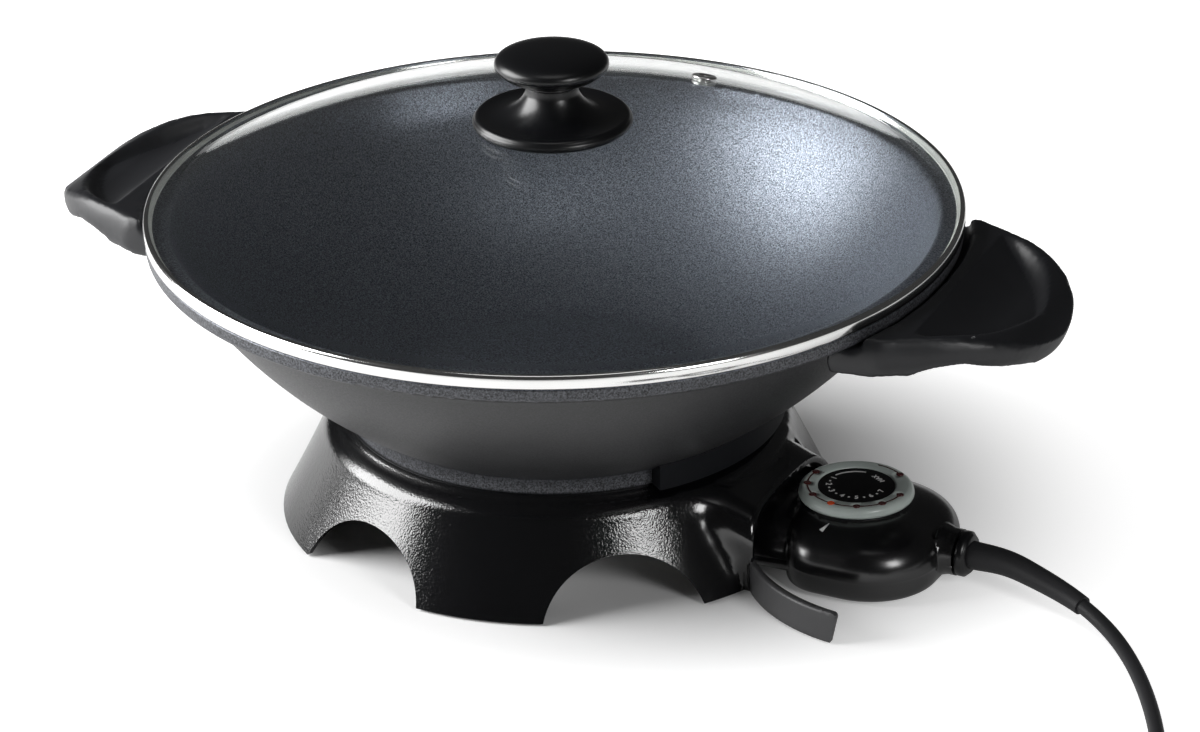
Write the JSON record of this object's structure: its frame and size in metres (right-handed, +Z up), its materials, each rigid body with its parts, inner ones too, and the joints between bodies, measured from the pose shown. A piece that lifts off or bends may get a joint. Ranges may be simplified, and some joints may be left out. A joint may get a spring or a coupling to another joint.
{
  "type": "electric wok",
  "caption": "Electric wok: coated cast pan on an arched plastic base, loose glass lid with a knob, side handles, plug-in dial control with mains lead.",
  "frame": {"origin": "on the table surface, on the pan's vertical axis", "axes": "+Z up; +X from the pan's axis out along the plug-in control; +Y to the left of the control"},
  "size_m": [0.572, 0.4437, 0.2098],
  "materials": {
    "base_shell": "black heat-resistant plastic, fine texture with a sheen",
    "rubber_feet": "matte black",
    "fasteners": "zinc-plated steel",
    "wok_pan": "cast aluminium with grey-black non-stick coating",
    "heating_element": "sheathed element, dulled by heat",
    "terminal_pins": "plain steel",
    "terminal_plate": "unglazed ceramic",
    "terminal_cover": "dark, slightly shiny",
    "handles": "black phenolic, satin",
    "lid_glass": "clear tempered glass",
    "lid_rim": "polished stainless steel",
    "rim_gasket": "translucent grey",
    "vent_eyelet": "polished steel",
    "knob_seat": "matte black",
    "knob": "black phenolic, satin",
    "control_housing": "glossy black",
    "contact_block": "dark phenolic",
    "contact_sleeves": "sprung brass",
    "probe_rod": "plain steel",
    "thermostat": "moulded switch block",
    "cord_bushing": "black",
    "strain_relief": "matte black",
    "cord": "matte black sheath",
    "plug_body": "moulded black",
    "plug_pins": "nickel-plated brass",
    "plug_earth_strips": "plated spring strips",
    "dial_ring": "grey-green satin",
    "dial_face": "black disc with plain white figures",
    "dial_dots": "dark red lamp dots",
    "dial_dot_lit": "orange lamp dot",
    "dial_spindle": "plain"
  },
  "bodies": {
    "base": {"base_shell": "base_shell", "rubber_feet": "rubber_feet", "base_screws": "fasteners", "wok_pan": "wok_pan", "heating_element": "heating_element", "terminal_pins": "terminal_pins", "terminal_plate": "terminal_plate", "terminal_cover": "terminal_cover", "handle_right": "handles", "handle_left": "handles", "handle_bolts": "fasteners"},
    "lid": {"lid_glass": "lid_glass", "lid_rim": "lid_rim", "rim_gasket": "rim_gasket", "vent_eyelet": "vent_eyelet", "knob_seat": "knob_seat", "knob_collar": "knob", "knob_base": "knob", "knob_cap": "knob", "knob_washer": "fasteners", "knob_screw": "fasteners"},
    "control": {"control_housing_upper": "control_housing", "control_housing_lower": "control_housing", "contact_block": "contact_block", "contact_sleeves": "contact_sleeves", "probe_rod": "probe_rod", "thermostat": "thermostat", "cord_bushing": "cord_bushing", "housing_screws": "fasteners", "strain_relief": "strain_relief", "power_cord": "cord", "cord_coil": "cord", "plug_body": "plug_body", "plug_pins": "plug_pins", "plug_earth_strips": "plug_earth_strips"},
    "dial": {"dial_ring": "dial_ring", "dial_face": "dial_face", "dial_dots": "dial_dots", "dial_dot_lit": "dial_dot_lit", "dial_spindle": "dial_spindle"}
  },
  "joints": [
    {"name": "lid_lift", "type": "slide", "parent": "base", "child": "lid", "axis": [0, 0, 1], "range_m": [0, 0.15]},
    {"name": "control_pull", "type": "slide", "parent": "base", "child": "control", "axis": [1, 0, 0], "range_m": [0, 0.09]},
    {"name": "dial_turn", "type": "hinge", "parent": "control", "child": "dial", "pos_m": [0.142, 0, 0.031], "axis": [0, 0, 1], "range_deg": [-144, 99]}
  ]
}
